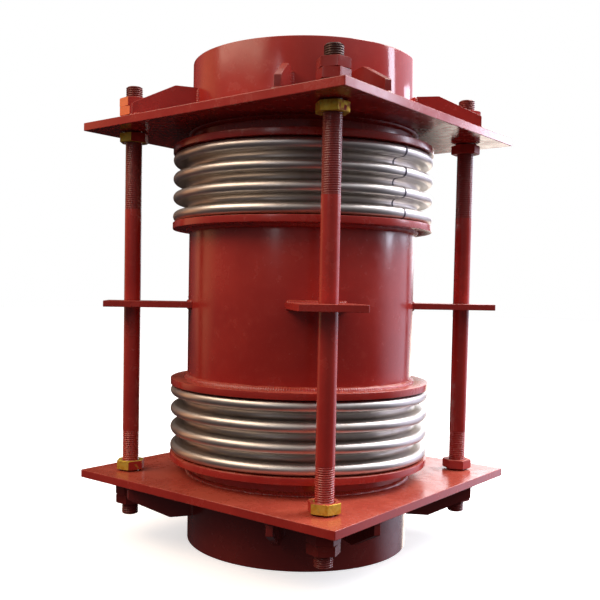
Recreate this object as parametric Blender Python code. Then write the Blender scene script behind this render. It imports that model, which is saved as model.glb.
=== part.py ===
"""Tied universal expansion joint: two metal bellows, a pipe spool between them, and four tie rods.

Metres, +Z up along the pipe's axis. The origin is the centre of the bottom pipe's end face.
The joint is the same above and below its middle plane. The tie plates' sides run along X and Y,
so the tie rods and the spool's lugs stand on the plates' diagonals.
"""

import math

import bmesh
import bpy
from mathutils import Matrix, Vector

# Fit between pieces
GAP = 0.0003

# Pipes: 16 inch pipe at the ends, and a slightly larger rolled spool between the bellows
HEIGHT = 0.868
MIDDLE = HEIGHT / 2
PIPE_RADIUS = 0.2032
PIPE_WALL = 0.0095
SPOOL_RADIUS = 0.2070
PIPE_CHAMFER = 0.0020
ROUND_SIDES = 32

# Heights, each measured from the middle plane
SPOOL_RING_NEAR = 0.1350
SPOOL_RING_FAR = 0.1470
END_RING_NEAR = 0.2710
END_RING_FAR = 0.2830
PLATE_NEAR = 0.3075
PLATE_FAR = 0.3215
ROD_END = 0.3885

# Bellows
CREST_RADIUS = 0.2370
ROOT_RADIUS = 0.2093
BELLOWS_WALL = 0.0020
CONVOLUTIONS = 4
PITCH = 0.0340
CREST_SHOULDER_DROP = 0.0040
CREST_HALF_WIDTH = 0.0080
ROOT_HALF_WIDTH = 0.0040
END_WALL_SETBACK = 0.0016

# Rings that back the bellows' ends
RING_RADIUS = 0.2375

# Tie plates
PLATE_HALF_SIDE = 0.2825

# Tie rods, on a circle through the plates' diagonals
ROD_CIRCLE = 0.3090
ROD_RADIUS = 0.0150
ROD_CHAMFER = 0.0020
ROD_SIDES = 24
ROD_HOLE_RADIUS = 0.0190

# Seat washers: the convex side is part of a ball about a point outside the plate
BALL_RADIUS = 0.0340
BALL_CENTRE_OUT = 0.0260
WASHER_RADIUS = 0.0270
WASHER_BORE_RADIUS = 0.0165
WASHER_FACE_OUT = 0.0125
WASHER_SIDES = 16
SEAT_ANGLE = math.radians(36.0)
SEAT_CUT_HEIGHT = 0.0060

# Hexagon nuts for the 30 mm rods
NUT_ACROSS_FLATS = 0.0460
NUT_HEIGHT = 0.0160
NUT_CHAMFER = 0.0020
NUT_FACE_RADIUS = 0.0222
NUT_BORE_RADIUS = 0.0159
NUT_SIDES = 12
OUTER_NUT_GAP = 0.0012
INNER_NUT_GAP = 0.0030
JAM_NUT_TURN = math.radians(-7.0)

# How far the spanner left each nut turned, in degrees: the lock nut inside the plate, and the
# nut outside it
NUT_TURNS = {
    "bottom_right": (24.0, 12.0),
    "bottom_rear": (50.0, 31.0),
    "bottom_left": (10.0, 55.0),
    "bottom_front": (17.0, 40.0),
    "top_right": (34.0, 20.0),
    "top_rear": (41.0, 8.0),
    "top_left": (7.0, 0.0),
    "top_front": (21.0, 26.0),
}

# Gussets between the end pipes and the tie plates
GUSSET_THICKNESS = 0.0110
GUSSET_KNEE_RADIUS = 0.2440
GUSSET_TIP_RADIUS = 0.3190
GUSSET_KNEE_HEIGHT = 0.0575
GUSSET_TIP_HEIGHT = 0.0210
GUSSET_SPREAD = math.radians(15.0)

# Guide lugs at the spool's middle
LUG_THICKNESS = 0.0110
LUG_TIP_RADIUS = 0.3570
LUG_HALF_WIDTH = 0.0520
LUG_HOLE_RADIUS = 0.0195
LUG_ROOT_STEPS = 6

# How far above the spool's middle each lug was welded
LUG_LIFTS = {"right": 0.0022, "rear": 0.0, "left": -0.0018, "front": 0.0026}

CORNERS = {"right": 45.0, "rear": 135.0, "left": 225.0, "front": 315.0}
LEVELS = {"bottom": -1, "top": 1}


def clear_scene():
    for thing in list(bpy.data.objects):
        bpy.data.objects.remove(thing, do_unlink=True)


def material(name, colour, roughness, metallic):
    made = bpy.data.materials.new(name)
    made.use_nodes = True
    shader = made.node_tree.nodes["Principled BSDF"]
    shader.inputs["Base Color"].default_value = (*colour, 1.0)
    shader.inputs["Roughness"].default_value = roughness
    shader.inputs["Metallic"].default_value = metallic
    return made


def red_paint():
    return material("oxide_red_paint", (0.30, 0.030, 0.022), 0.32, 0.0)


def stainless_steel():
    return material("stainless_steel", (0.56, 0.53, 0.50), 0.28, 1.0)


def yellow_zinc():
    return material("yellow_zinc", (0.48, 0.36, 0.08), 0.40, 0.8)


def finish_mesh(name, shape, skin, sharp_angle=math.radians(35.0)):
    """Turn a bmesh into a mesh with outward faces, smooth shading and one material."""
    bmesh.ops.remove_doubles(shape, verts=shape.verts, dist=1e-6)
    bmesh.ops.recalc_face_normals(shape, faces=shape.faces)
    mesh = bpy.data.meshes.new(name)
    shape.to_mesh(mesh)
    shape.free()
    mesh.materials.append(skin)
    mesh.shade_smooth()
    mesh.set_sharp_from_angle(angle=sharp_angle)
    return mesh


def turned(profile, sides, closed=True):
    """Spin a profile of (radius, height) points about Z.

    A closed profile makes a ring. An open one starts and ends on the axis and makes a solid rod.
    """
    shape = bmesh.new()
    points = [shape.verts.new((radius, 0.0, height)) for radius, height in profile]
    edges = [shape.edges.new(pair) for pair in zip(points, points[1:])]
    if closed:
        edges.append(shape.edges.new((points[-1], points[0])))
    bmesh.ops.spin(
        shape,
        geom=points + edges,
        cent=(0.0, 0.0, 0.0),
        axis=(0.0, 0.0, 1.0),
        angle=math.tau,
        steps=sides,
        use_merge=True,
    )
    bmesh.ops.remove_doubles(shape, verts=shape.verts, dist=1e-6)
    bmesh.ops.recalc_face_normals(shape, faces=shape.faces)
    return shape


def extruded(outline, thickness, low):
    """Extrude an outline of (x, y) points along Z, from height low."""
    shape = bmesh.new()
    face = shape.faces.new([shape.verts.new((x, y, low)) for x, y in outline])
    pushed = bmesh.ops.extrude_face_region(shape, geom=[face])
    moved = [item for item in pushed["geom"] if isinstance(item, bmesh.types.BMVert)]
    bmesh.ops.translate(shape, verts=moved, vec=(0.0, 0.0, thickness))
    bmesh.ops.recalc_face_normals(shape, faces=shape.faces)
    return shape


def temporary(name, shape):
    mesh = bpy.data.meshes.new(name)
    shape.to_mesh(mesh)
    shape.free()
    thing = bpy.data.objects.new(name, mesh)
    bpy.context.collection.objects.link(thing)
    return thing


def carved(shape, cutters):
    """Cut each cutter out of a shape with a Boolean and return the shape that is left."""
    body = temporary("carve_body", shape)
    tools = [temporary("carve_tool", cutter) for cutter in cutters]
    for tool in tools:
        cut = body.modifiers.new("cut", "BOOLEAN")
        cut.operation = "DIFFERENCE"
        cut.solver = "EXACT"
        cut.object = tool
    seen = body.evaluated_get(bpy.context.evaluated_depsgraph_get())
    left = bmesh.new()
    left.from_mesh(seen.to_mesh())
    seen.to_mesh_clear()
    for thing in [body, *tools]:
        bpy.data.objects.remove(thing, do_unlink=True)
    return left


def on_circle(radius, degrees, height=0.0):
    angle = math.radians(degrees)
    return Vector((radius * math.cos(angle), radius * math.sin(angle), height))


def pivot(name, location, parent=None):
    """An empty that stands on a joint's axis and carries what turns about it."""
    empty = bpy.data.objects.new(name, None)
    empty.empty_display_size = 0.05
    bpy.context.collection.objects.link(empty)
    hang(empty, parent, location)
    return empty


def hang(thing, parent, location):
    """Place an object by its world position under a parent that isn't turned."""
    above = parent
    offset = Vector(location)
    thing.parent = parent
    while above is not None:
        offset = offset - above.location
        above = above.parent
    thing.location = offset


def piece(name, mesh, parent, location, turn=0.0, flip=False):
    """One part: turned about Z, and turned over about X first where it faces down."""
    thing = bpy.data.objects.new(name, mesh)
    bpy.context.collection.objects.link(thing)
    thing.rotation_euler = (math.pi if flip else 0.0, 0.0, turn)
    hang(thing, parent, location)
    return thing


# ---------------------------------------------------------------- turned pieces


def tube_mesh(name, outer, inner, low, high, skin):
    """A pipe with its outer edges broken at both ends."""
    profile = [
        (outer, low + PIPE_CHAMFER),
        (outer, high - PIPE_CHAMFER),
        (outer - PIPE_CHAMFER, high),
        (inner, high),
        (inner, low),
        (outer - PIPE_CHAMFER, low),
    ]
    return finish_mesh(name, turned(profile, ROUND_SIDES), skin)


def end_pipe_mesh(skin):
    """An end pipe, from its free end up to the bellows, with z = 0 at the free end."""
    length = MIDDLE - END_RING_NEAR
    return tube_mesh("end_pipe", PIPE_RADIUS, PIPE_RADIUS - PIPE_WALL, 0.0, length, skin)


def spool_mesh(skin):
    """The pipe between the bellows, centred on z = 0."""
    half = SPOOL_RING_FAR
    return tube_mesh("spool", SPOOL_RADIUS, SPOOL_RADIUS - PIPE_WALL, -half, half, skin)


def ring_mesh(name, sleeve_radius, skin):
    """A flat ring with z = 0 on its near face, which fits over a bellows sleeve."""
    thickness = SPOOL_RING_FAR - SPOOL_RING_NEAR
    inner = sleeve_radius + BELLOWS_WALL + GAP
    profile = [(inner, 0.0), (RING_RADIUS, 0.0), (RING_RADIUS, thickness), (inner, thickness)]
    return finish_mesh(name, turned(profile, ROUND_SIDES), skin)


def bellows_line():
    """The middle of the bellows' wall, from the spool's sleeve to the end pipe's sleeve."""
    half_wall = BELLOWS_WALL / 2
    spool_sleeve = SPOOL_RADIUS + GAP + half_wall
    end_sleeve = PIPE_RADIUS + GAP + half_wall
    root = ROOT_RADIUS - half_wall
    crest = CREST_RADIUS - half_wall
    centre = (SPOOL_RING_FAR + END_RING_NEAR) / 2
    first_crest = centre - PITCH * (CONVOLUTIONS - 1) / 2
    line = [(spool_sleeve, SPOOL_RING_NEAR)]
    for number in range(CONVOLUTIONS):
        middle = first_crest + PITCH * number
        low = middle - PITCH / 2 + ROOT_HALF_WIDTH
        high = middle + PITCH / 2 - ROOT_HALF_WIDTH
        if number == 0:
            low = SPOOL_RING_FAR + END_WALL_SETBACK
        if number == CONVOLUTIONS - 1:
            high = END_RING_NEAR - END_WALL_SETBACK
        line += [
            (root if number else spool_sleeve, low),
            (crest - CREST_SHOULDER_DROP, middle - CREST_HALF_WIDTH),
            (crest, middle),
            (crest - CREST_SHOULDER_DROP, middle + CREST_HALF_WIDTH),
            (root if number < CONVOLUTIONS - 1 else end_sleeve, high),
        ]
    line.append((end_sleeve, END_RING_FAR))
    return line


def offset_line(line, distance):
    """A copy of an open line moved sideways by a distance, mitred at each bend."""
    moved = []
    for number, (radius, height) in enumerate(line):
        here = Vector((radius, height))
        before = Vector(line[max(number - 1, 0)])
        after = Vector(line[min(number + 1, len(line) - 1)])
        arrive = (here - before).normalized() if number else (after - here).normalized()
        leave = (after - here).normalized() if after != here else arrive
        normal = Vector((arrive.y + leave.y, -arrive.x - leave.x)).normalized()
        side = Vector((leave.y, -leave.x))
        reach = distance / max(normal.dot(side), 0.5)
        moved.append(tuple(here + normal * reach))
    return moved


def bellows_mesh(skin):
    """A bellows wall with its two sleeves, heights measured from the middle plane."""
    line = bellows_line()
    outer = offset_line(line, BELLOWS_WALL / 2)
    inner = offset_line(line, -BELLOWS_WALL / 2)
    return finish_mesh("bellows", turned(outer + inner[::-1], ROUND_SIDES), skin)


def rod_mesh(skin):
    """A tie rod with chamfered ends, centred on z = 0."""
    profile = [
        (0.0, -ROD_END),
        (ROD_RADIUS - ROD_CHAMFER, -ROD_END),
        (ROD_RADIUS, -ROD_END + ROD_CHAMFER),
        (ROD_RADIUS, ROD_END - ROD_CHAMFER),
        (ROD_RADIUS - ROD_CHAMFER, ROD_END),
        (0.0, ROD_END),
    ]
    return finish_mesh("tie_rod", turned(profile, ROD_SIDES, closed=False), skin)


def ball_height(radius):
    """How far the washer's ball stands off the plate's outer face at a radius."""
    return BALL_CENTRE_OUT - math.sqrt(BALL_RADIUS**2 - radius**2)


def washer_mesh(skin):
    """A seat washer, z = 0 at the ball's centre and +Z away from the plate."""
    top = WASHER_FACE_OUT - BALL_CENTRE_OUT
    middle = (WASHER_BORE_RADIUS + WASHER_RADIUS) / 2
    ball = [
        (radius, ball_height(radius) - BALL_CENTRE_OUT)
        for radius in (WASHER_BORE_RADIUS, middle, WASHER_RADIUS)
    ]
    profile = ball + [(WASHER_RADIUS, top), (WASHER_BORE_RADIUS, top)]
    return finish_mesh("seat_washer", turned(profile, WASHER_SIDES), skin)


# ---------------------------------------------------------------- nuts


def nut_rings(low, turn):
    """Rings up one nut's outside: height, radius at the corners, radius at the flats, turn."""
    flat = NUT_ACROSS_FLATS / 2
    corner = flat / math.cos(math.pi / 6)
    return [
        (low, NUT_FACE_RADIUS, NUT_FACE_RADIUS, turn),
        (low + NUT_CHAMFER, corner, flat, turn),
        (low + NUT_HEIGHT - NUT_CHAMFER, corner, flat, turn),
        (low + NUT_HEIGHT, NUT_FACE_RADIUS, NUT_FACE_RADIUS, turn),
    ]


def nut_mesh(name, rings, skin):
    """A nut, or nuts locked together: rings of points joined into one bored solid."""
    shape = bmesh.new()
    bore = [
        (height, NUT_BORE_RADIUS, NUT_BORE_RADIUS, turn)
        for height, _, _, turn in (rings[-1], rings[0])
    ]
    loops = []
    for height, at_corner, at_flat, turn in rings + bore:
        loop = []
        for number in range(NUT_SIDES):
            radius = at_flat if number % 2 else at_corner
            angle = turn + math.tau * number / NUT_SIDES
            loop.append(
                shape.verts.new((radius * math.cos(angle), radius * math.sin(angle), height))
            )
        loops.append(loop)
    for here, there in zip(loops, loops[1:] + loops[:1]):
        for number in range(NUT_SIDES):
            after = (number + 1) % NUT_SIDES
            shape.faces.new((here[number], here[after], there[after], there[number]))
    return finish_mesh(name, shape, skin)


def inner_nut_mesh(skin):
    return nut_mesh("inner_nut", nut_rings(0.0, 0.0), skin)


def outer_nuts_mesh(skin):
    """A nut and the jam nut locked on top of it, turned a little from each other."""
    lower = nut_rings(0.0, 0.0)
    upper = nut_rings(NUT_HEIGHT, JAM_NUT_TURN)
    return nut_mesh("outer_nuts", lower + upper[1:], skin)


# ---------------------------------------------------------------- flat pieces


def seat_cutter():
    """The rod's hole and its conical seat, z = 0 at the plate's outer face."""
    distance = BALL_RADIUS + GAP

    def cone_radius(height):
        depth = BALL_CENTRE_OUT - height
        return (distance - depth * math.cos(SEAT_ANGLE)) / math.sin(SEAT_ANGLE)

    cone_end = BALL_CENTRE_OUT - (distance - ROD_HOLE_RADIUS * math.sin(SEAT_ANGLE)) / math.cos(
        SEAT_ANGLE
    )
    thickness = PLATE_FAR - PLATE_NEAR
    below = -thickness - SEAT_CUT_HEIGHT
    profile = [
        (0.0, below),
        (ROD_HOLE_RADIUS, below),
        (ROD_HOLE_RADIUS, cone_end),
        (cone_radius(SEAT_CUT_HEIGHT), SEAT_CUT_HEIGHT),
        (0.0, SEAT_CUT_HEIGHT),
    ]
    return turned(profile, ROD_SIDES, closed=False)


def plate_mesh(skin):
    """A square tie plate, z = 0 at its outer face, with the pipe's hole and four rod seats."""
    half = PLATE_HALF_SIDE
    thickness = PLATE_FAR - PLATE_NEAR
    outline = [(-half, -half), (half, -half), (half, half), (-half, half)]
    plate = extruded(outline, thickness, -thickness)
    hole = PIPE_RADIUS + GAP
    pipe_hole = turned(
        [(0.0, -2 * thickness), (hole, -2 * thickness), (hole, thickness), (0.0, thickness)],
        ROUND_SIDES,
        closed=False,
    )
    cutters = [pipe_hole]
    for degrees in CORNERS.values():
        seat = seat_cutter()
        bmesh.ops.translate(seat, verts=seat.verts, vec=on_circle(ROD_CIRCLE, degrees))
        cutters.append(seat)
    return finish_mesh("tie_plate", carved(plate, cutters), skin)


def gusset_mesh(skin):
    """A gusset along +X, standing up from z = 0 with its back against the pipe."""
    back = PIPE_RADIUS + 2 * GAP
    outline = [
        (back, GAP),
        (GUSSET_TIP_RADIUS, GAP),
        (GUSSET_TIP_RADIUS, GUSSET_TIP_HEIGHT),
        (GUSSET_KNEE_RADIUS, GUSSET_KNEE_HEIGHT),
        (back, GUSSET_KNEE_HEIGHT),
    ]
    shape = extruded(outline, GUSSET_THICKNESS, -GUSSET_THICKNESS / 2)
    upright = Matrix.Rotation(math.pi / 2, 3, "X")
    bmesh.ops.rotate(shape, verts=shape.verts, cent=(0.0, 0.0, 0.0), matrix=upright)
    return finish_mesh("gusset", shape, skin)


def lug_mesh(skin):
    """A guide lug along +X, centred on z = 0, hollowed at its root to fit the spool."""
    root = SPOOL_RADIUS + GAP
    reach = math.asin(LUG_HALF_WIDTH / root)
    arc = []
    for number in range(LUG_ROOT_STEPS + 1):
        angle = reach * (1 - 2 * number / LUG_ROOT_STEPS)
        arc.append((root * math.cos(angle), root * math.sin(angle)))
    outline = [(LUG_TIP_RADIUS, -LUG_HALF_WIDTH), (LUG_TIP_RADIUS, LUG_HALF_WIDTH)] + arc
    lug = extruded(outline, LUG_THICKNESS, -LUG_THICKNESS / 2)
    deep = LUG_THICKNESS
    hole = turned(
        [(0.0, -deep), (LUG_HOLE_RADIUS, -deep), (LUG_HOLE_RADIUS, deep), (0.0, deep)],
        ROD_SIDES,
        closed=False,
    )
    bmesh.ops.translate(hole, verts=hole.verts, vec=(ROD_CIRCLE, 0.0, 0.0))
    return finish_mesh("lug", carved(lug, [hole]), skin)


# ---------------------------------------------------------------- assembly


def add_end(level, parent, meshes):
    """An end weldment: pipe, ring, tie plate and gussets, at the bottom or the top."""
    way = LEVELS[level]
    down = way < 0
    free_end = MIDDLE + way * MIDDLE
    piece(f"{level}_end_pipe", meshes["end_pipe"], parent, (0, 0, free_end), flip=not down)
    ring_at = MIDDLE + way * END_RING_NEAR
    piece(f"{level}_end_ring", meshes["end_ring"], parent, (0, 0, ring_at), flip=down)
    face = MIDDLE + way * PLATE_FAR
    piece(f"{level}_tie_plate", meshes["tie_plate"], parent, (0, 0, face), flip=down)
    for corner, degrees in CORNERS.items():
        for side, spread in (("a", -GUSSET_SPREAD), ("b", GUSSET_SPREAD)):
            turn = math.radians(degrees) + spread
            name = f"{level}_gusset_{corner}_{side}"
            piece(name, meshes["gusset"], parent, (0, 0, face), turn=turn, flip=down)


def add_spool(parent, meshes):
    """The spool with its two rings and four guide lugs."""
    piece("spool_pipe", meshes["spool"], parent, (0, 0, MIDDLE))
    for level, way in LEVELS.items():
        word = "upper" if way > 0 else "lower"
        ring_at = MIDDLE + way * SPOOL_RING_NEAR
        piece(f"spool_{word}_ring", meshes["spool_ring"], parent, (0, 0, ring_at), flip=way < 0)
    for corner, degrees in CORNERS.items():
        turn = math.radians(degrees)
        height = MIDDLE + LUG_LIFTS[corner]
        piece(f"spool_lug_{corner}", meshes["lug"], parent, (0, 0, height), turn=turn)


def add_rod(corner, degrees, parent, meshes):
    """A tie rod with its nuts and seat washers, carried by a pivot at the lower seat."""
    ball_out = PLATE_FAR + BALL_CENTRE_OUT
    seat = pivot(f"pivot_{corner}_rod", on_circle(ROD_CIRCLE, degrees, MIDDLE - ball_out), parent)
    piece(f"tie_rod_{corner}", meshes["tie_rod"], seat, on_circle(ROD_CIRCLE, degrees, MIDDLE))
    for level, way in LEVELS.items():
        down = way < 0
        inner_turn, outer_turn = (math.radians(part) for part in NUT_TURNS[f"{level}_{corner}"])
        washer_at = on_circle(ROD_CIRCLE, degrees, MIDDLE + way * ball_out)
        piece(f"{level}_seat_washer_{corner}", meshes["seat_washer"], seat, washer_at, flip=down)
        outer = MIDDLE + way * (PLATE_FAR + WASHER_FACE_OUT + OUTER_NUT_GAP)
        outer_at = on_circle(ROD_CIRCLE, degrees, outer)
        outer_name = f"{level}_outer_nuts_{corner}"
        piece(outer_name, meshes["outer_nuts"], seat, outer_at, outer_turn, down)
        inner = MIDDLE + way * (PLATE_NEAR - INNER_NUT_GAP)
        inner_at = on_circle(ROD_CIRCLE, degrees, inner)
        inner_name = f"{level}_inner_nut_{corner}"
        piece(inner_name, meshes["inner_nut"], seat, inner_at, inner_turn, not down)


def build():
    clear_scene()
    paint = red_paint()
    steel = stainless_steel()
    zinc = yellow_zinc()
    meshes = {
        "end_pipe": end_pipe_mesh(paint),
        "end_ring": ring_mesh("end_ring", PIPE_RADIUS + GAP, paint),
        "spool_ring": ring_mesh("spool_ring", SPOOL_RADIUS + GAP, paint),
        "tie_plate": plate_mesh(paint),
        "gusset": gusset_mesh(paint),
        "spool": spool_mesh(paint),
        "lug": lug_mesh(paint),
        "bellows": bellows_mesh(steel),
        "tie_rod": rod_mesh(paint),
        "seat_washer": washer_mesh(paint),
        "outer_nuts": outer_nuts_mesh(paint),
        "inner_nut": inner_nut_mesh(zinc),
    }
    bellows_centre = (SPOOL_RING_FAR + END_RING_NEAR) / 2
    lower = pivot("pivot_lower_bellows", (0, 0, MIDDLE - bellows_centre))
    upper = pivot("pivot_upper_bellows", (0, 0, MIDDLE + bellows_centre), lower)
    add_end("bottom", None, meshes)
    piece("lower_bellows", meshes["bellows"], lower, (0, 0, MIDDLE), flip=True)
    add_spool(lower, meshes)
    piece("upper_bellows", meshes["bellows"], upper, (0, 0, MIDDLE))
    add_end("top", upper, meshes)
    for corner, degrees in CORNERS.items():
        add_rod(corner, degrees, None, meshes)


build()
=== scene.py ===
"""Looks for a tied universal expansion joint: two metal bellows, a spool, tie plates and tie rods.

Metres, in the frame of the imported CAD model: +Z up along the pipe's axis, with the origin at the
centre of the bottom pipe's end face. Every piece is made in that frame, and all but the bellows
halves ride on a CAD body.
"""

import math

import bmesh
import bpy
import numpy as np
from mathutils import Matrix, Vector


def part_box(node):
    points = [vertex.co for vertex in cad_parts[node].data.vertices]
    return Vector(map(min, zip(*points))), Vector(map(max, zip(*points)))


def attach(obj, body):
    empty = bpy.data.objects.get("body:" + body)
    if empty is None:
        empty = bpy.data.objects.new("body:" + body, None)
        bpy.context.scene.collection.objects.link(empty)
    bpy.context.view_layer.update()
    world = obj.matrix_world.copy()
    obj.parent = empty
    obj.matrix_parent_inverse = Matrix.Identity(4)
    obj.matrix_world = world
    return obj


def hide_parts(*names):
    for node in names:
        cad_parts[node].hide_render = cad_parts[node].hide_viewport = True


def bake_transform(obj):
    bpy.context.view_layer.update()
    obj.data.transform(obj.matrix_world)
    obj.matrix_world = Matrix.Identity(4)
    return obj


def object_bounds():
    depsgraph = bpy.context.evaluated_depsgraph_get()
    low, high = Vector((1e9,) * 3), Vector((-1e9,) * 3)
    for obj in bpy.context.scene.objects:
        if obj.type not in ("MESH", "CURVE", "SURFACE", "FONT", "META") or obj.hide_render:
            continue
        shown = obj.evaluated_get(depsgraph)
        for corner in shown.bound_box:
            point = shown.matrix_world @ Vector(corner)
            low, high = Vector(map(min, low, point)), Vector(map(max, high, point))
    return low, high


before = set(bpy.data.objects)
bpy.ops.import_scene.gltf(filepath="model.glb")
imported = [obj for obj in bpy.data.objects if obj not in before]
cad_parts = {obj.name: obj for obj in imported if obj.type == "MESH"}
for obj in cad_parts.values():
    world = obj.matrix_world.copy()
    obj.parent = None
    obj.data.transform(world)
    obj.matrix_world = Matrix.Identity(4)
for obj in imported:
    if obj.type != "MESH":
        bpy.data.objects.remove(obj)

CAD_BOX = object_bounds()

# ---------------------------------------------------------------- sizes read from the frame

CORNERS = {"right": 45.0, "rear": 135.0, "left": 225.0, "front": 315.0}
LEVELS = {"bottom": -1, "top": 1}

HEIGHT = CAD_BOX[1].z
MIDDLE = HEIGHT / 2
PIPE_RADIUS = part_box("top_end_pipe")[1].x
SPOOL_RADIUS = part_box("spool_pipe")[1].x
RING_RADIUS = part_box("top_end_ring")[1].x
CREST_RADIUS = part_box("upper_bellows")[1].x
PLATE_HALF_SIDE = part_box("top_tie_plate")[1].x
ROD_AT = (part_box("tie_rod_right")[0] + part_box("tie_rod_right")[1]) / 2
ROD_CIRCLE = math.hypot(ROD_AT.x, ROD_AT.y)
ROD_RADIUS = (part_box("tie_rod_right")[1].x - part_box("tie_rod_right")[0].x) / 2

# Heights from the middle plane
SPOOL_RING_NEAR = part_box("spool_upper_ring")[0].z - MIDDLE
SPOOL_RING_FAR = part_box("spool_upper_ring")[1].z - MIDDLE
END_RING_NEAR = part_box("top_end_ring")[0].z - MIDDLE
END_RING_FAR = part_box("top_end_ring")[1].z - MIDDLE
PLATE_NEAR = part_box("top_tie_plate")[0].z - MIDDLE
PLATE_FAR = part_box("top_tie_plate")[1].z - MIDDLE
ROD_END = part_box("tie_rod_right")[1].z - MIDDLE

# ---------------------------------------------------------------- sizes the frame doesn't hold

# GAP stands in for the welds: it keeps joined pieces just apart, as in the CAD model
GAP = 0.0003
PIPE_WALL = 0.0095
PIPE_CHAMFER = 0.0020
ROUND_SIDES = 160
SHARP = math.radians(12.0)

BELLOWS_WALL = 0.0020
CREST_ARC = 0.0084
ROOT_ARC = 0.0086
FIRST_CREST = 0.0110
PITCH = 0.0340
ROOT_RADIUS = 0.2093
ARC_STEPS = 14
BELLOWS_SIDES = 192
SEAM_ANGLE = math.radians(-7.0)

ROD_HOLE_RADIUS = 0.0190
SEAT_HOLE_RADIUS = 0.0232
SEAT_DEPTH = 0.0066
BALL_RADIUS = 0.0340
BALL_CENTRE_OUT = 0.0260
WASHER_RADIUS = 0.0270
WASHER_BORE_RADIUS = 0.0165
WASHER_FACE_OUT = 0.0125

THREAD_PITCH = 0.0035
THREAD_DEPTH = 0.0012
CLOGGED_THREAD = 0.35
THREAD_ROWS = 7
TOP_THREAD_START = 0.1670
BOTTOM_THREAD_START = -0.2320
ROD_SIDES = 40
ROD_TIP_DROP = 0.0026
ROD_TIP_LENGTH = 0.0016

NUT_ACROSS_FLATS = 0.0460
NUT_SIDES_PER_FLAT = 10
NUT_HEIGHT = 0.0160
NUT_FACE_RADIUS = 0.0246
NUT_BORE_RADIUS = 0.01508
NUT_COUNTERSINK = 0.0170
NUT_CHAMFER = math.radians(30.0)
OUTER_NUT_GAP = 0.0012
INNER_NUT_GAP = 0.0030
JAM_NUT_TURN = -7.0

# How far the spanner left each nut turned, in degrees: the lock nut inside the plate, and the
# nut outside it
NUT_TURNS = {
    "bottom_right": (24.0, 12.0),
    "bottom_rear": (50.0, 31.0),
    "bottom_left": (10.0, 55.0),
    "bottom_front": (17.0, 40.0),
    "top_right": (34.0, 20.0),
    "top_rear": (41.0, 8.0),
    "top_left": (7.0, 0.0),
    "top_front": (21.0, 26.0),
}

GUSSET_THICKNESS = 0.0110
GUSSET_KNEE_RADIUS = 0.2440
GUSSET_TIP_RADIUS = 0.3190
GUSSET_KNEE_HEIGHT = 0.0575
GUSSET_TIP_HEIGHT = 0.0210
GUSSET_SPREAD = 15.0

LUG_THICKNESS = 0.0110
LUG_TIP_RADIUS = 0.3570
LUG_HALF_WIDTH = 0.0520
LUG_HOLE_RADIUS = 0.0195

# Weld beads: the space between ripples and between rows of points, and the legs of each bead
WELD_RIPPLE = 0.0042
WELD_STEP = 0.0011
PLATE_OUTER_LEG = 0.0065
PLATE_INNER_LEG = 0.0060
RING_LEG = 0.0058
GUSSET_FOOT_LEG = 0.0046
GUSSET_BACK_LEG = 0.0044
GUSSET_TIP_LEG = 0.0040
LUG_LEG = 0.0036
SPATTER_SIDES = 7
END_SPATTER = 90
LUG_SPATTER = 5

# The camera stands a little above the middle plane, and the frame is cut from a wider view
CAMERA_AZIMUTH = 37.055
CAMERA_DISTANCE = 1.5204
CAMERA_ABOVE_MIDDLE = 0.0259
CAMERA_HEADING = 39.544
CAMERA_PITCH_DOWN = 2.551
CAMERA_ROLL = 1.036
CAMERA_LENS = 48.863
CAMERA_SHIFT = (0.0600, 0.0450)


# ---------------------------------------------------------------- node helpers


def plug(tree, node, values):
    """Set or link a node's inputs, by name or number."""
    for key, value in values.items():
        socket = node.inputs[key]
        if isinstance(value, bpy.types.NodeSocket):
            tree.links.new(value, socket)
        else:
            socket.default_value = value


def add(tree, kind, values=None, **options):
    """Add a node, set its options, and set or link its inputs."""
    made = tree.nodes.new(kind)
    for key, value in options.items():
        setattr(made, key, value)
    plug(tree, made, values or {})
    return made


def maths(tree, operation, first, second=0.0):
    values = {0: first, 1: second}
    return add(tree, "ShaderNodeMath", values, operation=operation).outputs[0]


def times(tree, first, second):
    return maths(tree, "MULTIPLY", first, second)


def plus(tree, first, second):
    return maths(tree, "ADD", first, second)


def minus(tree, first, second):
    return maths(tree, "SUBTRACT", first, second)


def cosine(tree, first, second):
    """The cosine of the angle between two directions."""
    values = {0: first, 1: second}
    return add(tree, "ShaderNodeVectorMath", values, operation="DOT_PRODUCT").outputs["Value"]


def mix(tree, factor, first, second):
    values = {0: factor, 6: first, 7: second}
    return add(tree, "ShaderNodeMix", values, data_type="RGBA", blend_type="MIX").outputs[2]


def spread(tree, value, low, high, to_low=0.0, to_high=1.0, smooth=True):
    """Map a value from low..high to to_low..to_high, held at both ends."""
    kind = "SMOOTHSTEP" if smooth else "LINEAR"
    values = {0: value, 1: low, 2: high, 3: to_low, 4: to_high}
    return add(tree, "ShaderNodeMapRange", values, interpolation_type=kind).outputs[0]


def place(tree):
    """Position on the object at rest, in metres."""
    return add(tree, "ShaderNodeTexCoord").outputs["Object"]


def height_at_rest(tree):
    return add(tree, "ShaderNodeSeparateXYZ", {0: place(tree)}).outputs["Z"]


def stretched(tree, vector, scale):
    """The same position with each axis scaled."""
    return add(tree, "ShaderNodeMapping", {"Vector": vector, "Scale": scale}).outputs[0]


def noise(tree, vector, scale, detail=3.0, rough=0.5, distortion=0.0):
    values = {"Vector": vector, "Scale": scale, "Detail": detail}
    values.update({"Roughness": rough, "Distortion": distortion})
    return add(tree, "ShaderNodeTexNoise", values).outputs["Fac"]


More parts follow.
